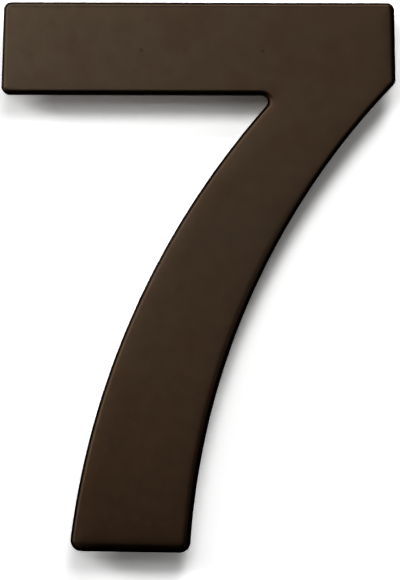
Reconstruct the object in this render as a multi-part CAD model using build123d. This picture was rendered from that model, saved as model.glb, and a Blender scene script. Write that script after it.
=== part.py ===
from build123d import *
import os
from math import radians, sqrt, tan

# A house number, the figure seven, that floats in front of its wall on two studs with spacers.
# Its face looks along -Y and the wall is the plane y = 0. The origin is on the upper stud's
# axis, in the wall plane. Millimetres, +Z up.

# Outline of the figure, seen from the front
number_height = 127.0
bar_width = 90.0  # along the top edge
bar_height = 21.25
left_end_flare = 1.6  # degrees that the bar's end leans outwards as it goes down
right_end_flare = 1.2
right_end_height = 18.4  # from the top edge down to where the outer sweep starts
throat_inset = 62.85  # from the bar's top left corner to the notch under the bar
foot_inset = 15.3  # from the bar's top left corner to the foot's left corner
foot_width = 27.9
foot_slope = 0.8  # degrees that the foot drops towards the right
inner_sweep_radius = 185.4  # the stem's left edge
outer_sweep_radius = 168.4  # the stem's right edge

# Thickness and edges of the casting
thickness = 6.0
edge_round = 1.15  # rounding of the front edge
back_edge_round = 0.35
bar_corner_core = 0.65  # what a bar corner's radius is more than the front rounding
foot_corner_core = 1.45  # the same at the foot
throat_radius = 1.5

# Studs and their tapped holes
stud_diameter = 4.0
shank_diameter = 3.5  # rolled studs are thinner between their threads
stud_in_wall = 22.0
stud_in_number = 4.0
stud_chamfer = 0.4
thread_clearance = 0.03  # radial, between the stud and the wall of its tapped hole
hole_countersink = 0.4
upper_stud_inset = 22.0  # from the bar's top right corner
upper_stud_drop = 10.7  # below the top edge
lower_stud_height = 15.5  # above the foot's left corner

# Spacers
standoff = 10.0  # from the wall to the back of the figure
spacer_diameter = 8.0
spacer_bore = 4.4
spacer_chamfer = 0.3

# Corners of the outline, before they are rounded, as (x, z) from the upper stud's axis
top = upper_stud_drop
left = upper_stud_inset - bar_width
top_left = (left, top)
top_right = (upper_stud_inset, top)
shoulder = (upper_stud_inset + right_end_height * tan(radians(right_end_flare)), top - right_end_height)
foot_right = (left + foot_inset + foot_width, top - number_height)
foot_left = (left + foot_inset, foot_right[1] + foot_width * tan(radians(foot_slope)))
throat = (left + throat_inset, top - bar_height)
bar_low_left = (left - bar_height * tan(radians(left_end_flare)), top - bar_height)

bar_corner_radius = edge_round + bar_corner_core
foot_corner_radius = edge_round + foot_corner_core
corner_radii = {
    top_left: bar_corner_radius,
    top_right: bar_corner_radius,
    shoulder: bar_corner_radius,
    foot_right: foot_corner_radius,
    foot_left: foot_corner_radius,
    throat: throat_radius,
    bar_low_left: bar_corner_radius,
}


def sweep_x(low, high, radius, z):
    """x at height z of the arc from low to high, whose centre lies to its right."""
    rise = (high[0] - low[0], high[1] - low[1])
    chord = sqrt(rise[0] ** 2 + rise[1] ** 2)
    reach = sqrt(radius**2 - chord**2 / 4) / chord
    centre_x = (low[0] + high[0]) / 2 + rise[1] * reach
    centre_z = (low[1] + high[1]) / 2 - rise[0] * reach
    return centre_x - sqrt(radius**2 - (z - centre_z) ** 2)


def sweep(low, high, radius):
    """The stem's edge: an arc from low to high."""
    middle_z = (low[1] + high[1]) / 2
    return ThreePointArc(low, (sweep_x(low, high, radius, middle_z), middle_z), high)


# The lower stud is halfway between the stem's edges, the upper one at the origin
lower_z = foot_left[1] + lower_stud_height
lower_x = (
    sweep_x(foot_left, throat, inner_sweep_radius, lower_z)
    + sweep_x(foot_right, shoulder, outer_sweep_radius, lower_z)
) / 2
stations = {"upper": (0.0, 0.0), "lower": (lower_x, lower_z)}


def numeral():
    """The casting: the outline extruded, its corners and edges rounded, two blind holes behind."""
    with BuildPart() as casting:
        with BuildSketch(Plane.XZ.offset(standoff)):
            with BuildLine():
                Line(top_left, top_right)
                Line(top_right, shoulder)
                sweep(foot_right, shoulder, outer_sweep_radius)
                Line(foot_right, foot_left)
                sweep(foot_left, throat, inner_sweep_radius)
                Line(throat, bar_low_left)
                Line(bar_low_left, top_left)
            make_face()
        extrude(amount=thickness)
        for (x, z), radius in corner_radii.items():
            corner = casting.edges().filter_by(Axis.Y).sort_by_distance((x, -standoff, z))[0]
            fillet(corner, radius)
        fillet(casting.faces().sort_by(Axis.Y)[0].edges(), edge_round)
        fillet(casting.faces().sort_by(Axis.Y)[-1].edges(), back_edge_round)
        for x, z in stations.values():
            with BuildSketch(Plane((x, -standoff, z), x_dir=(1, 0, 0), z_dir=(0, -1, 0))) as mouth:
                Circle(stud_diameter / 2 + thread_clearance)
            extrude(amount=stud_in_number, mode=Mode.SUBTRACT)
            rim = casting.edges().filter_by(GeomType.CIRCLE).sort_by_distance((x, -standoff, z))[0]
            chamfer(rim, hole_countersink)
    return casting.part


def turned(x, z, profile):
    """A turned piece on the axis through (x, z) along Y, from its (radius, y) profile."""
    outline = Polyline(*[(x + radius, y) for radius, y in profile], close=True)
    blank = Plane.XY.offset(z) * make_face(outline)
    return revolve(blank, Axis((x, 0, z), (0, 1, 0)))


def stud(x, z):
    """Two threaded ends on a thinner shank, with chamfered tips. The front tip seats in its hole."""
    front_tip = -standoff - stud_in_number
    radius = stud_diameter / 2
    shank = shank_diameter / 2
    profile = [
        (0, front_tip),
        (radius - stud_chamfer, front_tip),
        (radius, front_tip + stud_chamfer),
        (radius, -standoff),
        (shank, -standoff),
        (shank, 0),
        (radius, 0),
        (radius, stud_in_wall - stud_chamfer),
        (radius - stud_chamfer, stud_in_wall),
        (0, stud_in_wall),
    ]
    return turned(x, z, profile)


def spacer(x, z):
    """A tube from the wall to the back of the figure, with its outer rims chamfered."""
    radius = spacer_diameter / 2
    profile = [
        (spacer_bore / 2, -standoff),
        (radius - spacer_chamfer, -standoff),
        (radius, -standoff + spacer_chamfer),
        (radius, -spacer_chamfer),
        (radius - spacer_chamfer, 0),
        (spacer_bore / 2, 0),
    ]
    return turned(x, z, profile)


nodes = {"numeral": numeral()}
for place, (x, z) in stations.items():
    nodes[place + "_stud"] = stud(x, z)
    nodes[place + "_spacer"] = spacer(x, z)

os.makedirs("parts", exist_ok=True)
for name, solid in nodes.items():
    export_step(solid, f"parts/{name}.step")
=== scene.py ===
import math

import bmesh
import bpy
import numpy as np
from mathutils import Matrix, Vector
from mathutils.geometry import delaunay_2d_cdt


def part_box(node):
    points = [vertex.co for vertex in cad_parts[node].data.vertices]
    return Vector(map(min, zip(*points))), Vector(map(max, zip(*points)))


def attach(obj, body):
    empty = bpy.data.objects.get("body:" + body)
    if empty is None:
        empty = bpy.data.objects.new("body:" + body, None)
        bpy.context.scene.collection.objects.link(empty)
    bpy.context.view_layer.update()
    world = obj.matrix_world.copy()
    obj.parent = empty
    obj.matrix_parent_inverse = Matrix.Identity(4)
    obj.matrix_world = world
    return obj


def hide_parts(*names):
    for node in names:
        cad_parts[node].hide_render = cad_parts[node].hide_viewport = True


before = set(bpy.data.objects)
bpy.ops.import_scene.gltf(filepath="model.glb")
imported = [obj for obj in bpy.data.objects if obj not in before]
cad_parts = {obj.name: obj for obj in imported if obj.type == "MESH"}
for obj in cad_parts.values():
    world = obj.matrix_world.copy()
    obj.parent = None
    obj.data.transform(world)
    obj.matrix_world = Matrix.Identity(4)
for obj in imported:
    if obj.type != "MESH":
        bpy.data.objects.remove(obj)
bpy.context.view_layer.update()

# A house number, the figure seven, floating in front of a white wall. The wall is the plane
# y = 0, the face looks along -Y, and the origin is on the upper stud's axis. Sizes are in
# millimetres, and become metres where a mesh is made.
MM = 0.001

# Outline of the figure
number_height = 127.0
bar_width = 90.0
bar_height = 21.25
left_end_flare = 1.6  # degrees
right_end_flare = 1.2
right_end_height = 18.4
throat_inset = 62.85
foot_inset = 15.3
foot_width = 27.9
foot_slope = 0.8
inner_sweep_radius = 185.4
outer_sweep_radius = 168.4
upper_stud_inset = 22.0
upper_stud_drop = 10.7
bar_corner_radius = 1.8
foot_corner_radius = 2.6
throat_radius = 1.5

# Section of the casting
numeral_low, numeral_high = (np.array(corner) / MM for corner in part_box("numeral"))
face_y, back_y = numeral_low[1], numeral_high[1]
edge_round = 1.15
back_edge_round = 0.35
plateau_inset = 6.0  # further in than this the face is flat

# The face rolls back softly towards its edges
roll_drop = 0.25  # how far it lies back at the very edge
roll_reach = 1.5  # distance in which that fades to about a third
under_bar_share = 0.8  # how much less of it there is under the bar

# Round the foot the edges are softer still
soft_drop = 0.22  # how much further back they lie
soft_side = (0.4, -0.92)  # the direction, as (x, z), that has the most of it
soft_inset = 1.4  # where the drop is half done, in from the edge
soft_width = 0.2  # how gently it goes
soft_from = -20.0  # z where it begins, on the way down
soft_span = 70.0  # height in which it comes up to the full drop
blend_length = 2.0  # how far along the outline these changes blend into each other

# Studs
stud_radius = 2.0
shank_radius = 1.75
stud_chamfer = 0.4
thread_pitch = 0.7
thread_depth = 0.43
wave_gain = 1.45  # steepens the thread's triangle wave, so that its crests are cut flat
wave_offset = 0.25  # and shifts it, so that its roots are too

# Tapped holes in the back
thread_clearance = 0.03
hole_radius = stud_radius + thread_clearance
hole_depth = 4.0
hole_countersink = 0.4

# Spacers
spacer_bore_radius = 2.2
spacer_chamfer = 0.3
spacer_rim = 0.06  # a turned rim is never quite sharp

# How fine the meshes are
point_spacing = 0.7  # along straight and swept stretches of the outline
corner_steps = 10
front_round_steps = 19
back_round_steps = 6
face_rings = 25
side_rings = (0.25, 0.5, 0.75)  # from the back to the front, as shares of the way
hole_steps = 48
stud_steps = 40
stations_per_pitch = 12
shank_stations = 8
spacer_steps = 96
spacer_side_stations = 12
spacer_bore_stations = 10
weld_decimals = 5  # points that agree to so many decimals of a millimetre become one
crease_angle = 35  # faces that meet at more than this, in degrees, keep a sharp edge


def corner_points():
    """The outline's seven sharp corners as (x, z), clockwise from the bar's top left."""
    top = upper_stud_drop
    left = upper_stud_inset - bar_width
    low = top - bar_height
    shoulder_x = upper_stud_inset + right_end_height * math.tan(math.radians(right_end_flare))
    foot_right = (left + foot_inset + foot_width, top - number_height)
    foot_left_z = foot_right[1] + foot_width * math.tan(math.radians(foot_slope))
    return np.array([
        (left, top),
        (upper_stud_inset, top),
        (shoulder_x, top - right_end_height),
        foot_right,
        (left + foot_inset, foot_left_z),
        (left + throat_inset, low),
        (left - bar_height * math.tan(math.radians(left_end_flare)), low),
    ])


# Each corner's radius, below zero where the metal is outside the corner
corner_radii = np.array([
    bar_corner_radius,
    bar_corner_radius,
    bar_corner_radius,
    foot_corner_radius,
    foot_corner_radius,
    -throat_radius,
    bar_corner_radius,
])
# Each edge runs from its corner to the next. A sweep's radius is above zero where insetting the
# edge makes it smaller, and zero means a straight edge.
edge_radii = np.array([0, 0, -outer_sweep_radius, 0, inner_sweep_radius, 0, 0])


def sweep_centre(start, end, radius):
    """Centre of the arc between two corners. It lies to the right of the stem, in the frame."""
    low, high = (start, end) if start[1] < end[1] else (end, start)
    chord = high - low
    length = np.hypot(*chord)
    normal = np.array([chord[1], -chord[0]]) / length
    return (low + high) / 2 + normal * math.sqrt(radius**2 - length**2 / 4)


class Edge:
    """One edge of the outline, a line or a sweep, which can be inset by any distance."""

    def __init__(self, start, end, radius):
        self.start, self.end, self.radius = start, end, radius
        self.length = np.hypot(*(end - start))
        along = (end - start) / self.length
        self.outward = np.array([-along[1], along[0]])
        self.centre = sweep_centre(start, end, abs(radius)) if radius else None

    def inset_radius(self, inset):
        """Radius of the sweep once it is inset."""
        return abs(self.radius) - inset * math.copysign(1, self.radius)

    def normal_from(self, point):
        """Outward normal of the edge at the place nearest to the point."""
        if not self.radius:
            return self.outward
        away = (point - self.centre) / np.hypot(*(point - self.centre))
        return away * math.copysign(1, self.radius)

    def span(self, start, end, inset, steps):
        """Points on the inset edge between two of its points, evenly spaced, without the ends."""
        share = np.linspace(0, 1, steps + 1)[1:-1, None]
        if not self.radius:
            return start + (end - start) * share
        angle = [math.atan2(*(point - self.centre)[::-1]) for point in (start, end)]
        turn = (angle[1] - angle[0] + math.pi) % (2 * math.pi) - math.pi
        heading = angle[0] + turn * share
        return self.centre + self.inset_radius(inset) * np.hstack([np.cos(heading), np.sin(heading)])


def meet(one, other, inset, near):
    """Where two edges cross when both are inset, at the crossing nearest to a point."""
    if one.radius:
        one, other = other, one
    base = one.start - one.outward * inset
    along = np.array([one.outward[1], -one.outward[0]])
    if not other.radius:
        gap = (other.start - other.outward * inset - base) @ other.outward
        return base + along * gap / (along @ other.outward)
    middle = (other.centre - base) @ along
    offset = other.centre - base - along * middle
    half = math.sqrt(other.inset_radius(inset) ** 2 - offset @ offset)
    found = [base + along * (middle + side * half) for side in (-1, 1)]
    return min(found, key=lambda point: np.hypot(*(point - near)))


corners = corner_points()
edges = [
    Edge(corner, following, radius)
    for corner, following, radius in zip(corners, np.roll(corners, -1, axis=0), edge_radii)
]
fewest_edge_steps = 4
edge_steps = [max(fewest_edge_steps, round(edge.length / point_spacing)) for edge in edges]


def corner_arc(number, inset):
    """The rounded corner at the start of an edge, inset. It shrinks to the sharp crossing."""
    before, after = edges[number - 1], edges[number]
    radius = corner_radii[number]
    if 0 < radius <= inset:
        sharp = meet(before, after, inset, corners[number])
        return np.repeat(sharp[None], corner_steps + 1, axis=0)
    centre = meet(before, after, radius, corners[number])
    first, last = (edge.normal_from(centre) for edge in (before, after))
    angle = math.atan2(first[1], first[0])
    turn = math.atan2(first[0] * last[1] - first[1] * last[0], first @ last)
    heading = angle + turn * np.linspace(0, 1, corner_steps + 1)[:, None]
    return centre + (radius - inset) * np.hstack([np.cos(heading), np.sin(heading)])


def outline(inset):
    """The whole outline, inset, always with the same number of points, clockwise."""
    arcs = [corner_arc(number, inset) for number in range(len(corners))]
    loop = []
    for number, edge in enumerate(edges):
        after = arcs[(number + 1) % len(corners)]
        loop += [arcs[number], edge.span(arcs[number][-1], after[0], inset, edge_steps[number])]
    return np.vstack(loop)


def mesh_from(name, points, triangles):
    """A smooth mesh from points in millimetres. Points that coincide become one, and triangles
    that this leaves without area go."""
    rounded = np.round(points, weld_decimals)
    unique, place = np.unique(rounded, axis=0, return_inverse=True)
    kept = place.reshape(-1)[np.asarray(triangles)]
    different = (kept != np.roll(kept, 1, axis=1)).all(axis=1)
    mesh = bpy.data.meshes.new(name)
    mesh.from_pydata((unique * MM).tolist(), [], kept[different].tolist())
    shell = bmesh.new()
    shell.from_mesh(mesh)
    bmesh.ops.recalc_face_normals(shell, faces=shell.faces)
    shell.to_mesh(mesh)
    shell.free()
    mesh.shade_smooth()
    mesh.set_sharp_from_angle(angle=math.radians(crease_angle))
    piece = bpy.data.objects.new(name, mesh)
    bpy.context.scene.collection.objects.link(piece)
    return piece


def strip_triangles(rows, columns, closed_rows=False):
    """Triangles of a grid whose columns close on themselves, numbered row by row."""
    row = np.arange(rows if closed_rows else rows - 1)[:, None]
    column = np.arange(columns)[None, :]
    a = row * columns + column
    b = row * columns + (column + 1) % columns
    c = (row + 1) % rows * columns + (column + 1) % columns
    d = (row + 1) % rows * columns + column
    return np.stack([a, b, c, a, c, d], axis=-1).reshape(-1, 3)


def ring(angle):
    """Points at these angles on a circle of radius 1."""
    return np.stack([np.cos(angle), np.sin(angle)], 1)


def round_angles(steps):
    """Angles evenly spaced round a full turn."""
    return np.linspace(0, 2 * math.pi, steps, endpoint=False)


def blended_normals(plateau):
    """Outward normals of the outline, each a mean of its neighbours' with a Gaussian weight of
    their distance along the plateau's edge. Points that meet at a corner there share one normal."""
    step_in = 0.05
    outward = (outline(0) - outline(step_in)) / step_in
    step = np.hypot(*(plateau - np.roll(plateau, 1, axis=0)).T)
    along = np.cumsum(step)
    gap = np.abs(along[:, None] - along)
    gap = np.minimum(gap, step.sum() - gap)
    weight = np.exp(-(gap / blend_length) ** 2)
    return weight @ outward / weight.sum(axis=1, keepdims=True)


def face_height(inset, spots, outward):
    """How far the front surface lies behind the face's plane, at a distance in from the edge.
    A quarter circle of the edge rounding, plus a roll that fades as an exponential, plus a step
    as a logistic curve that makes the edges round the foot softer. Under the bar the roll is
    weaker. spots and outward are the plateau's points and the outline's normals there, as (x, z)."""
    across = np.clip(edge_round - inset, 0, None)
    quarter = edge_round - np.sqrt(edge_round**2 - across**2)
    low = np.clip((soft_from - spots[:, 1]) / soft_span, 0, 1)
    under = np.clip(-outward[:, 1], 0, 1)
    roll = roll_drop * np.exp(-inset / roll_reach) * (1 - under_bar_share * under * (1 - low))
    softening = low * np.clip(outward @ soft_side, 0, 1)
    return quarter + roll + soft_drop * softening / (1 + np.exp((inset - soft_inset) / soft_width))


def casting_profile():
    """(inset, y) from the back face round to the side, and the insets of the front's rings.
    Both roundings are quarter circles, and the face's rings are evenly spaced."""
    turn = np.linspace(0, math.pi / 2, back_round_steps)
    back_inset = back_edge_round * (1 - np.sin(turn))
    back = np.stack([back_inset, back_y - back_edge_round * (1 - np.cos(turn))], 1)
    turn = np.linspace(0, math.pi / 2, front_round_steps)
    face = np.linspace(edge_round, plateau_inset, face_rings)[1:]
    return back, np.concatenate([edge_round * (1 - np.cos(turn)), face])


def cap(*loops):
    """Triangles that fill one loop of (x, z) points, less the loops inside it, as a Delaunay
    triangulation that keeps the loops' edges. They count the points in the loops' order, and
    pass over a point that only repeats the one before it."""
    apart = 1e-4
    tolerance = 1e-6
    inside_loops = 1
    fresh = [np.abs(loop - np.roll(loop, 1, axis=0)).max(axis=1) > apart for loop in loops]
    kept = np.flatnonzero(np.concatenate(fresh))
    owner = np.repeat(np.arange(len(loops)), [new.sum() for new in fresh])
    first = np.searchsorted(owner, owner)
    size = np.bincount(owner)[owner]
    following = first + (np.arange(len(kept)) - first + 1) % size
    spots = [Vector(spot) for spot in np.vstack(loops)[kept]]
    filled = delaunay_2d_cdt(spots, list(enumerate(following.tolist())), [], inside_loops, tolerance)
    source = np.array([ids[0] for ids in filled[3]])
    triangles = source[np.array(filled[2])]
    in_hole = (owner[triangles] == owner[triangles][:, :1]).all(axis=1) & (owner[triangles][:, 0] > 0)
    return kept[triangles[~in_hole]]


def stud_axis(place):
    """(x, z) of a stud, from its CAD node."""
    low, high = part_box(place + "_stud")
    return np.array([low.x + high.x, low.z + high.z]) / 2 / MM


def hole_rows(centre):
    """A blind hole as rings from its countersunk mouth to its bottom, and the bottom's centre."""
    profile = [
        (hole_radius + hole_countersink, back_y),
        (hole_radius, back_y - hole_countersink),
        (hole_radius, back_y - hole_depth),
        (0, back_y - hole_depth),
    ]
    circle = ring(round_angles(hole_steps))
    return [np.insert(centre + circle * radius, 1, y, axis=1) for radius, y in profile]


def make_numeral():
    """The casting. Its section is carried along the outline, and its face and back are filled."""
    back, front_insets = casting_profile()
    spots = outline(plateau_inset)
    outward = blended_normals(spots)
    front = [face_y + face_height(inset, spots, outward) for inset in front_insets]
    sides = [back[-1, 1] + (front[0] - back[-1, 1]) * share for share in side_rings]
    profile = [*back, *((0, y) for y in sides), *zip(front_insets, front)]
    rings = [np.insert(outline(inset), 1, y, axis=1) for inset, y in profile]
    columns = len(rings[0])
    points = [np.vstack(rings)]
    triangles = [strip_triangles(len(rings), columns)]
    count = len(points[0])
    triangles.append(cap(rings[-1][:, [0, 2]]) + (len(rings) - 1) * columns)
    mouths = []
    mouth_ids = []
    for place in ("upper", "lower"):
        rows = hole_rows(stud_axis(place))
        mouths.append(rows[0][:, [0, 2]])
        mouth_ids.append(count + np.arange(hole_steps))
        points.append(np.vstack(rows))
        triangles.append(strip_triangles(len(rows), hole_steps)[:, ::-1] + count)
        count += len(rows) * hole_steps
    back_ids = np.concatenate([np.arange(columns), *mouth_ids])
    triangles.append(back_ids[cap(rings[0][:, [0, 2]], *mouths)])
    return mesh_from("numeral_casting", np.vstack(points), np.vstack(triangles))


def turned(name, centre, profile, steps):
    """A turned piece: (radius, y) stations carried round an axis along Y. radius may be one
    number a station, or an array with one number for each step round the axis."""
    angle = round_angles(steps)
    radii = np.stack([np.broadcast_to(radius, steps) for radius, _ in profile])
    along = np.array([y for _, y in profile])[:, None] + 0 * radii
    points = np.stack([centre[0] + radii * np.cos(angle), along, centre[1] + radii * np.sin(angle)], -1)
    closed = bool(radii[0].any())
    triangles = strip_triangles(len(profile), steps, closed_rows=closed)
    return mesh_from(name, points.reshape(-1, 3), triangles)


def thread_radius(y, angle, start, end):
    """Radius of a rolled thread: a helix whose section is a triangle wave with its crests and
    roots cut flat, inside a cone at its tip and fading to the plain shank at its other end."""
    phase = (y / thread_pitch - angle / (2 * math.pi)) % 1
    wave = np.clip(np.abs(2 * phase - 1) * wave_gain - wave_offset, 0, 1)
    thread = stud_radius - thread_depth * (1 - wave)
    tip = stud_radius - stud_chamfer + abs(y - start)
    fade = min(1.0, abs(y - end) / thread_pitch)
    return np.minimum(shank_radius + (thread - shank_radius) * fade, tip)


def make_stud(place):
    """A double-ended stud with a thread rolled on both ends of a thinner shank."""
    low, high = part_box(place + "_stud")
    front, rear = low.y / MM, high.y / MM
    angle = round_angles(stud_steps)
    rise = thread_pitch / stations_per_pitch
    front_end = np.linspace(front, back_y, round((back_y - front) / rise))
    rear_end = np.linspace(rear, 0, round(rear / rise))[::-1]
    profile = [(0, front)]
    profile += [(thread_radius(y, angle, front, back_y), y) for y in front_end]
    profile += [(shank_radius, y) for y in np.linspace(back_y, 0, shank_stations)[1:-1]]
    profile += [(thread_radius(y, angle, rear, 0), y) for y in rear_end]
    profile += [(0, rear)]
    return turned(place + "_threaded_stud", stud_axis(place), profile, stud_steps)


def make_spacer(place):
    """A turned tube from the wall to the back of the figure, with soft chamfered rims."""
    low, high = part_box(place + "_spacer")
    front, rear = low.y / MM, high.y / MM
    radius = (high.x - low.x) / 2 / MM
    flat = radius - spacer_chamfer
    soft = spacer_chamfer + spacer_rim
    side = np.linspace(front + soft, rear - soft, spacer_side_stations)
    bore = np.linspace(rear, front, spacer_bore_stations)
    profile = [
        (flat - spacer_rim, front),
        (flat + spacer_rim, front + spacer_rim),
        (radius - spacer_rim, front + spacer_chamfer - spacer_rim),
        *((radius, y) for y in side),
        (radius - spacer_rim, rear - spacer_chamfer + spacer_rim),
        (flat + spacer_rim, rear - spacer_rim),
        (flat - spacer_rim, rear),
        *((spacer_bore_radius, y) for y in bore),
    ]
    return turned(place + "_turned_spacer", stud_axis(place), profile, spacer_steps)


# Materials
# Colours of the patina, and of the painted shade on the rounded edge
bar_left_brown = "#40352b"
olive_brown = "#3c3428"
bar_right_brown = "#3b2e23"
russet_brown = "#37281d"
lighter_foot_brown = "#4b3829"
cloud_brown = "#2c2219"
speck_brown = "#1c150f"
# painted shade on the rounded edge, darkest on the right and below
edge_shade_brown = "#120d09"
linished_brown = "#3a2e22"

# The patterns on it: how far apart their features are, and how high
drift_size = 9  # the olive and russet patches
cloud_size = 2.5
grain_size = 0.5  # the sand-cast grain under the lacquer, drawn coarser so that it shows
grain_height = 0.0008
ripple_size = 11  # hand-finishing leaves the face a little wavy
ripple_height = 0.02

# Two specks in the bar's face, as (x, y, z)
specks = [(-36.3, -16.0, -0.4), (-8.3, -16.0, -0.5)]
speck_radius = 0.55

# Where the colour changes, as x along the bar, as z down the stem, and as the y of the surface's
# normal, which is -1 on the face, 0 on the flat sides and 1 on the back
bar_change = (-65, 12)
stem_change = (-35, -112)
flat_face_facing = (-0.93, -0.985)
# edge_facing: where the painted edge shade begins and where it is full
edge_facing = (-0.82, -0.45)
side_facing = (-0.2, 0.0)
edge_reach_at_foot = 0.22  # how much sooner the painted edge shade begins there, in that y
edge_reach_low_right = 0.85  # and where the surface turns to the right and down, away from the light
low_right_direction = (0.7, 0, -0.7)

# How strongly each change shows
olive_strength = 0.6
russet_strength = 0.4
cloud_strength = 0.26
speck_strength = 0.45

# Gloss of the metals. The edge tint dulls what the bronze mirrors at a glancing angle, as its
# dark patina does.
face_roughness = (0.30, 0.34)
linished_roughness = 0.44
edge_tint = "#121212"
zinc_roughness = 0.32
zinc_light = "#c9c7bf"
zinc_dull = "#a9a69a"
zinc_cloud_size = 3

# Settings that several nodes share
SMOOTH = {"interpolation_type": "SMOOTHSTEP"}
COLOURS = {"data_type": "RGBA"}


def linear(hex_colour):
    """An sRGB hex value as the linear colour that a shader takes."""
    channels = [int(hex_colour[i:i + 2], 16) / 255 for i in (1, 3, 5)]
    return [c / 12.92 if c <= 0.04045 else ((c + 0.055) / 1.055) ** 2.4 for c in channels] + [1.0]


def per(size):
    """Scale of a pattern whose features are so many millimetres apart."""
    return 1 / (size * MM)


def new_material(name):
    """An empty material and its node tree."""
    material = bpy.data.materials.new(name)
    material.use_nodes = True
    tree = material.node_tree
    tree.nodes.clear()
    return material, tree


def add(tree, kind, settings=None, **sockets):
    """Adds a node. A socket gets a value, or a link where the value is another node's output.
    A socket is called by its name, or by its number after an underscore."""
    node = tree.nodes.new(kind)
    for key, value in (settings or {}).items():
        setattr(node, key, value)
    for key, value in sockets.items():
        socket = node.inputs[int(key[1:]) if key[1:].isdigit() else key.replace("_", " ")]
        if isinstance(value, bpy.types.NodeSocket):
            tree.links.new(value, socket)
        else:
            socket.default_value = value
    return node


def aged_bronze():
    """Cast brass under a dark aged-bronze patina and a satin lacquer. The patina gives a deep
    warm brown that drifts a little towards russet and olive, and the lacquer a soft gloss. On the
    flat of the stem the colour turns lighter and warmer towards the foot. The rounded edge carries
    a painted shade that makes it nearly black, most of all on the right and below. The back and the
    flat sides are linished, which leaves a plainer and duller brown. A colour mix takes its two colours
    at sockets 6 and 7, and gives its result at output 2."""
    material, tree = new_material("aged_bronze_patina")
    place = add(tree, "ShaderNodeTexCoord").outputs["Object"]
    normal = add(tree, "ShaderNodeTexCoord").outputs["Normal"]
    where = add(tree, "ShaderNodeSeparateXYZ", Vector=place).outputs
    facing = add(tree, "ShaderNodeSeparateXYZ", Vector=normal).outputs["Y"]
    along_bar = add(tree, "ShaderNodeMapRange", Value=where["X"], From_Min=bar_change[0] * MM,
                    From_Max=bar_change[1] * MM)
    down_stem = add(tree, "ShaderNodeMapRange", SMOOTH, Value=where["Z"], From_Min=stem_change[0] * MM,
                    From_Max=stem_change[1] * MM)
    # On the flat face the colour turns lighter and warmer down the stem towards the foot
    flat = add(tree, "ShaderNodeMapRange", Value=facing, From_Min=flat_face_facing[0],
               From_Max=flat_face_facing[1])
    lighter_towards_foot = add(tree, "ShaderNodeMath", {"operation": "MULTIPLY"}, _0=down_stem.outputs["Result"],
                 _1=flat.outputs["Result"])

    # Olive and russet patches
    drift = add(tree, "ShaderNodeTexNoise", Vector=place, Scale=per(drift_size), Detail=2.0,
                Roughness=0.5)
    olive = add(tree, "ShaderNodeMapRange", Value=drift.outputs["Fac"], From_Min=0.4, From_Max=0.65,
                To_Max=olive_strength)
    bar_left = add(tree, "ShaderNodeMix", COLOURS, Factor=olive.outputs["Result"],
                   _6=linear(bar_left_brown), _7=linear(olive_brown))
    whole_bar = add(tree, "ShaderNodeMix", COLOURS, Factor=along_bar.outputs["Result"],
                    _6=bar_left.outputs[2], _7=linear(bar_right_brown))
    russet = add(tree, "ShaderNodeMapRange", Value=drift.outputs["Fac"], From_Min=0.5, From_Max=0.35,
                 To_Max=russet_strength)
    patched = add(tree, "ShaderNodeMix", COLOURS, Factor=russet.outputs["Result"],
                  _6=whole_bar.outputs[2], _7=linear(russet_brown))
    foot_lightened = add(tree, "ShaderNodeMix", COLOURS, Factor=lighter_towards_foot.outputs[0], _6=patched.outputs[2],
               _7=linear(lighter_foot_brown))

    # Finer clouds
    cloud = add(tree, "ShaderNodeTexNoise", Vector=place, Scale=per(cloud_size), Detail=3.0,
                Roughness=0.55)
    cloudy = add(tree, "ShaderNodeMapRange", Value=cloud.outputs["Fac"], From_Min=0.3, From_Max=0.7,
                 To_Max=cloud_strength)
    clouded = add(tree, "ShaderNodeMix", COLOURS, Factor=cloudy.outputs["Result"],
                  _6=foot_lightened.outputs[2], _7=linear(cloud_brown))

    # The two specks
    distances = [
        add(tree, "ShaderNodeVectorMath", {"operation": "DISTANCE"}, _0=place,
            _1=[c * MM for c in speck]).outputs["Value"]
        for speck in specks
    ]
    nearest = add(tree, "ShaderNodeMath", {"operation": "MINIMUM"}, _0=distances[0], _1=distances[1])
    in_speck = add(tree, "ShaderNodeMapRange", SMOOTH, Value=nearest.outputs[0],
                   From_Min=speck_radius * MM, From_Max=0.4 * speck_radius * MM,
                   To_Max=speck_strength)
    specked = add(tree, "ShaderNodeMix", COLOURS, Factor=in_speck.outputs["Result"],
                  _6=clouded.outputs[2], _7=linear(speck_brown))

    # Painted shade on the rounded edge, which turns its colour nearly black. The shade reaches further
    # onto the face towards the foot, and where the surface turns to the right and down.
    wider_below = add(tree, "ShaderNodeMath", {"operation": "MULTIPLY_ADD"},
                      _0=down_stem.outputs["Result"], _1=edge_reach_at_foot, _2=facing)
    low_right = add(tree, "ShaderNodeVectorMath", {"operation": "DOT_PRODUCT"}, _0=normal,
                    _1=low_right_direction)
    wider_there = add(tree, "ShaderNodeMapRange", Value=low_right.outputs["Value"],
                      To_Max=edge_reach_low_right)
    turned_away = add(tree, "ShaderNodeMath", {"operation": "ADD"}, _0=wider_below.outputs[0],
                      _1=wider_there.outputs["Result"])
    in_edge_shade = add(tree, "ShaderNodeMapRange", SMOOTH, Value=turned_away.outputs[0],
                  From_Min=edge_facing[0], From_Max=edge_facing[1])
    edge_shaded = add(tree, "ShaderNodeMix", COLOURS, Factor=in_edge_shade.outputs["Result"],
                _6=specked.outputs[2], _7=linear(edge_shade_brown))

    # The flat sides and the back
    behind = add(tree, "ShaderNodeMapRange", Value=facing, From_Min=side_facing[0],
                 From_Max=side_facing[1])
    finished = add(tree, "ShaderNodeMix", COLOURS, Factor=behind.outputs["Result"],
                   _6=edge_shaded.outputs[2], _7=linear(linished_brown))
    satin = add(tree, "ShaderNodeMapRange", Value=drift.outputs["Fac"], To_Min=face_roughness[0],
                To_Max=face_roughness[1])
    duller = add(tree, "ShaderNodeMath", {"operation": "MULTIPLY"}, _0=behind.outputs["Result"],
                 _1=linished_roughness)
    roughness = add(tree, "ShaderNodeMath", {"operation": "MAXIMUM"}, _0=satin.outputs["Result"],
                    _1=duller.outputs[0])

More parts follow.
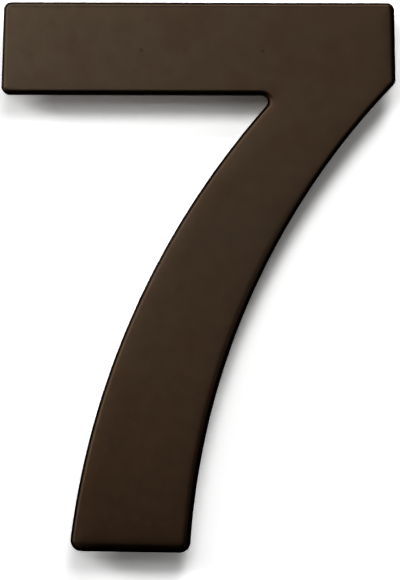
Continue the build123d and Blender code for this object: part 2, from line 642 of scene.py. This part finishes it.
    ripple = add(tree, "ShaderNodeTexNoise", Vector=place, Scale=per(ripple_size), Detail=1.0)
    rippled = add(tree, "ShaderNodeBump", Height=ripple.outputs["Fac"], Distance=ripple_height * MM,
                  Strength=1.0)
    grain = add(tree, "ShaderNodeTexNoise", Vector=place, Scale=per(grain_size), Detail=2.0)
    bumps = add(tree, "ShaderNodeBump", Height=grain.outputs["Fac"], Distance=grain_height * MM,
                Strength=1.0, Normal=rippled.outputs["Normal"])
    shader = add(tree, "ShaderNodeBsdfPrincipled", Base_Color=finished.outputs[2], Metallic=1.0,
                 Roughness=roughness.outputs[0], Normal=bumps.outputs["Normal"],
                 Specular_Tint=linear(edge_tint))
    add(tree, "ShaderNodeOutputMaterial", Surface=shader.outputs[0])
    return material


def zinc_plate():
    """Zinc-plated steel, thread rolled: a cool bright grey with a slight yellow cast."""
    material, tree = new_material("zinc_plated_steel")
    place = add(tree, "ShaderNodeTexCoord").outputs["Object"]
    cloud = add(tree, "ShaderNodeTexNoise", Vector=place, Scale=per(zinc_cloud_size), Detail=3.0)
    base = add(tree, "ShaderNodeMix", COLOURS, Factor=cloud.outputs["Fac"], _6=linear(zinc_light),
               _7=linear(zinc_dull))
    shader = add(tree, "ShaderNodeBsdfPrincipled", Base_Color=base.outputs[2], Metallic=1.0,
                 Roughness=zinc_roughness)
    add(tree, "ShaderNodeOutputMaterial", Surface=shader.outputs[0])
    return material


# Stage
wall_colour = 0.8  # how much light the wall gives back to the figure
wall_seen = 1.5  # the same, as the camera and reflections see it
wall_half = 1.5  # metres
floor_z = -1.2
world_strength = 0.045


def wall_paint():
    """Matt white wall paint. Seen by the camera or in a reflection it is brighter than it lights,
    so that the wall is white and the shadow on it stays. From behind it isn't there."""
    material, tree = new_material("matt_wall_paint")
    path = add(tree, "ShaderNodeLightPath").outputs
    direct = add(tree, "ShaderNodeMath", {"operation": "ADD"}, _0=path["Is Camera Ray"],
                 _1=path["Is Glossy Ray"])
    seen = add(tree, "ShaderNodeMath", {"operation": "ADD", "use_clamp": True}, _0=direct.outputs[0],
               _1=path["Is Transmission Ray"])
    plain = add(tree, "ShaderNodeBsdfDiffuse", Color=(wall_colour,) * 3 + (1,))
    bright = add(tree, "ShaderNodeBsdfDiffuse", Color=(wall_seen,) * 3 + (1,))
    front = add(tree, "ShaderNodeMixShader", _0=seen.outputs[0], _1=plain.outputs[0],
                _2=bright.outputs[0])
    back = add(tree, "ShaderNodeBsdfTransparent")
    side = add(tree, "ShaderNodeNewGeometry").outputs["Backfacing"]
    shader = add(tree, "ShaderNodeMixShader", _0=side, _1=front.outputs[0], _2=back.outputs[0])
    add(tree, "ShaderNodeOutputMaterial", Surface=shader.outputs[0])
    return material


def floor_paint():
    """Pale matt paint on the studio's floor."""
    material, tree = new_material("matt_floor_paint")
    shader = add(tree, "ShaderNodeBsdfDiffuse", Color=linear("#e4e2de"))
    add(tree, "ShaderNodeOutputMaterial", Surface=shader.outputs[0])
    return material


def flat_card(name, corner_list, material):
    """A flat sheet of the stage from its four corners in metres, facing the side from which they
    run anticlockwise."""
    mesh = bpy.data.meshes.new(name)
    mesh.from_pydata(corner_list, [], [(0, 1, 2, 3)])
    mesh.materials.append(material)
    sheet = bpy.data.objects.new(name, mesh)
    bpy.context.scene.collection.objects.link(sheet)
    return sheet


def dress(piece, material, node):
    """Gives a piece its material, and puts it in its CAD node's place."""
    piece.data.materials.append(material)
    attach(piece, "root")
    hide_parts(node)


bronze = aged_bronze()
zinc = zinc_plate()
dress(make_numeral(), bronze, "numeral")
for place in ("upper", "lower"):
    dress(make_stud(place), zinc, place + "_stud")
    dress(make_spacer(place), bronze, place + "_spacer")

wall = flat_card("wall", [
    (-wall_half, 0, floor_z),
    (wall_half, 0, floor_z),
    (wall_half, 0, wall_half),
    (-wall_half, 0, wall_half),
], wall_paint())
wall.visible_shadow = False
floor = flat_card("floor", [
    (-wall_half, -wall_half, floor_z),
    (wall_half, -wall_half, floor_z),
    (wall_half, wall_half, floor_z),
    (-wall_half, wall_half, floor_z),
], floor_paint())
floor.visible_glossy = False
floor.visible_diffuse = False

# Camera, straight in front. It leans by a hair, as the figure does in the photo's frame.
frame_height = 580  # pixels
figure_height = 550.6  # pixels that the figure takes up of them
camera_lean = 0.141  # degrees
camera_distance = 0.9  # metres from the face
sensor_height = 36.0
frame_centre = Vector((-22.63 * MM, 0, -55.59 * MM))
pixel = number_height * MM / figure_height
camera_data = bpy.data.cameras.new("camera")
camera = bpy.data.objects.new("camera", camera_data)
bpy.context.scene.collection.objects.link(camera)
camera_data.sensor_width = sensor_height
outline_distance = camera_distance + edge_round * MM
camera_data.lens = camera_data.sensor_width * outline_distance / (frame_height * pixel)
camera.location = frame_centre + Vector((0, face_y * MM - camera_distance, 0))
camera.rotation_euler = (math.radians(90), -math.radians(camera_lean), 0)
bpy.context.scene.camera = camera


def soft_light(name, distance, aside, above, width, height, power):
    """A rectangular softbox aimed at the figure's middle. Its direction from there is how far it
    is aside of and above the line straight out from the wall, as parts of its distance."""
    data = bpy.data.lights.new(name, "AREA")
    data.shape = "RECTANGLE"
    data.size, data.size_y = width, height
    data.energy = power
    lamp = bpy.data.objects.new(name, data)
    offset = Vector((aside, -math.sqrt(1 - aside**2 - above**2), above))
    lamp.location = frame_centre + offset * distance
    lamp.rotation_euler = (-offset).to_track_quat("-Z", "Y").to_euler()
    bpy.context.scene.collection.objects.link(lamp)
    return lamp


# Softboxes that light the wall and give the soft shadow, each with its distance, aside, above,
# width, height and power, in metres and watts. Their own reflections are off, as a polarising
# filter takes them off.
softboxes = [
    ("key_softbox", 1.0, 0.02, 0.34, 0.22, 0.16, 2.38),
    ("near_softbox", 1.0, -0.16, 0.18, 0.22, 0.18, 1.40),
    ("left_softbox", 1.0, -0.54, 0.30, 0.48, 0.16, 2.85),
    ("upper_softbox", 1.0, 0.17, 0.59, 0.22, 0.16, 2.65),
    ("high_softbox", 1.0, 0.30, 0.88, 0.30, 0.15, 0.35),
    ("low_fill", 1.0, 0.0, -0.90, 1.50, 0.21, 1.20),
    ("right_fill", 1.0, 0.55, 0.10, 0.40, 0.40, 0.35),
]
for softbox in softboxes:
    soft_light(*softbox).visible_glossy = False

# Cards that only the metal mirrors, given in the same order. The face cards draw the face's slow
# fall from its top left to its foot, and the edge cards the thin light line along its top and left
# edges. The side cards show in the right side, and in the face as seen from the upper left.
cards = [
    ("face_card_left", 0.6, -0.6, 0.25, 0.12, 0.36, 0.52),
    ("face_card_wide", 0.6, -0.1, 0.25, 0.48, 0.36, 0.75),
    ("face_card_small", 0.6, -0.2, 0.25, 0.12, 0.12, 0.11),
    ("edge_card_above", 1.0, 0.0, 0.84, 0.70, 0.25, 1.48),
    ("edge_card_top", 1.0, 0.0, 0.90, 0.80, 0.25, 2.10),
    ("edge_card_left", 1.0, -0.76, 0.10, 0.30, 0.70, 1.40),
    ("edge_card_far", 1.0, -0.9, 0.10, 0.30, 0.80, 1.50),
    ("edge_card_corner", 1.0, -0.5, 0.65, 0.40, 0.30, 2.17),
    ("side_card_right", 1.0, 0.85, 0.0, 0.30, 0.80, 0.20),
    ("side_card_low", 1.0, 0.60, -0.40, 0.60, 0.60, 0.30),
]
for card in cards:
    soft_light(*card).visible_diffuse = False

# Behind the wall, for the views from the back
rear = soft_light("rear_softbox", 1.0, 0.0, 0.0, 0.6, 0.6, 6.0)
rear.location = (0.35, 1.0, 0.35)
rear.rotation_euler = (-rear.location).to_track_quat("-Z", "Y").to_euler()


def studio_world():
    """White to the camera. Its light is dim, but what the metal mirrors behind the wall is white
    too, which only the back of the figure and its studs meet."""
    world = bpy.data.worlds.new("studio")
    world.use_nodes = True
    tree = world.node_tree
    tree.nodes.clear()
    path = add(tree, "ShaderNodeLightPath").outputs
    heading = add(tree, "ShaderNodeTexCoord").outputs["Generated"]
    direction = add(tree, "ShaderNodeSeparateXYZ", Vector=heading)
    behind = add(tree, "ShaderNodeMath", {"operation": "GREATER_THAN"}, _0=direction.outputs["Y"],
                 _1=0.0)
    mirrored = add(tree, "ShaderNodeMath", {"operation": "MAXIMUM"}, _0=path["Is Glossy Ray"],
                   _1=path["Is Transmission Ray"])
    mirrored_behind = add(tree, "ShaderNodeMath", {"operation": "MULTIPLY"}, _0=mirrored.outputs[0],
                          _1=behind.outputs[0])
    seen = add(tree, "ShaderNodeMath", {"operation": "MAXIMUM"}, _0=path["Is Camera Ray"],
               _1=mirrored_behind.outputs[0])
    strength = add(tree, "ShaderNodeMapRange", Value=seen.outputs[0], To_Min=world_strength,
                   To_Max=1.0)
    background = add(tree, "ShaderNodeBackground", Color=(1, 1, 1, 1),
                     Strength=strength.outputs["Result"])
    add(tree, "ShaderNodeOutputWorld", Surface=background.outputs[0])
    return world


bpy.context.scene.world = studio_world()
bpy.context.scene.view_settings.view_transform = "Standard"
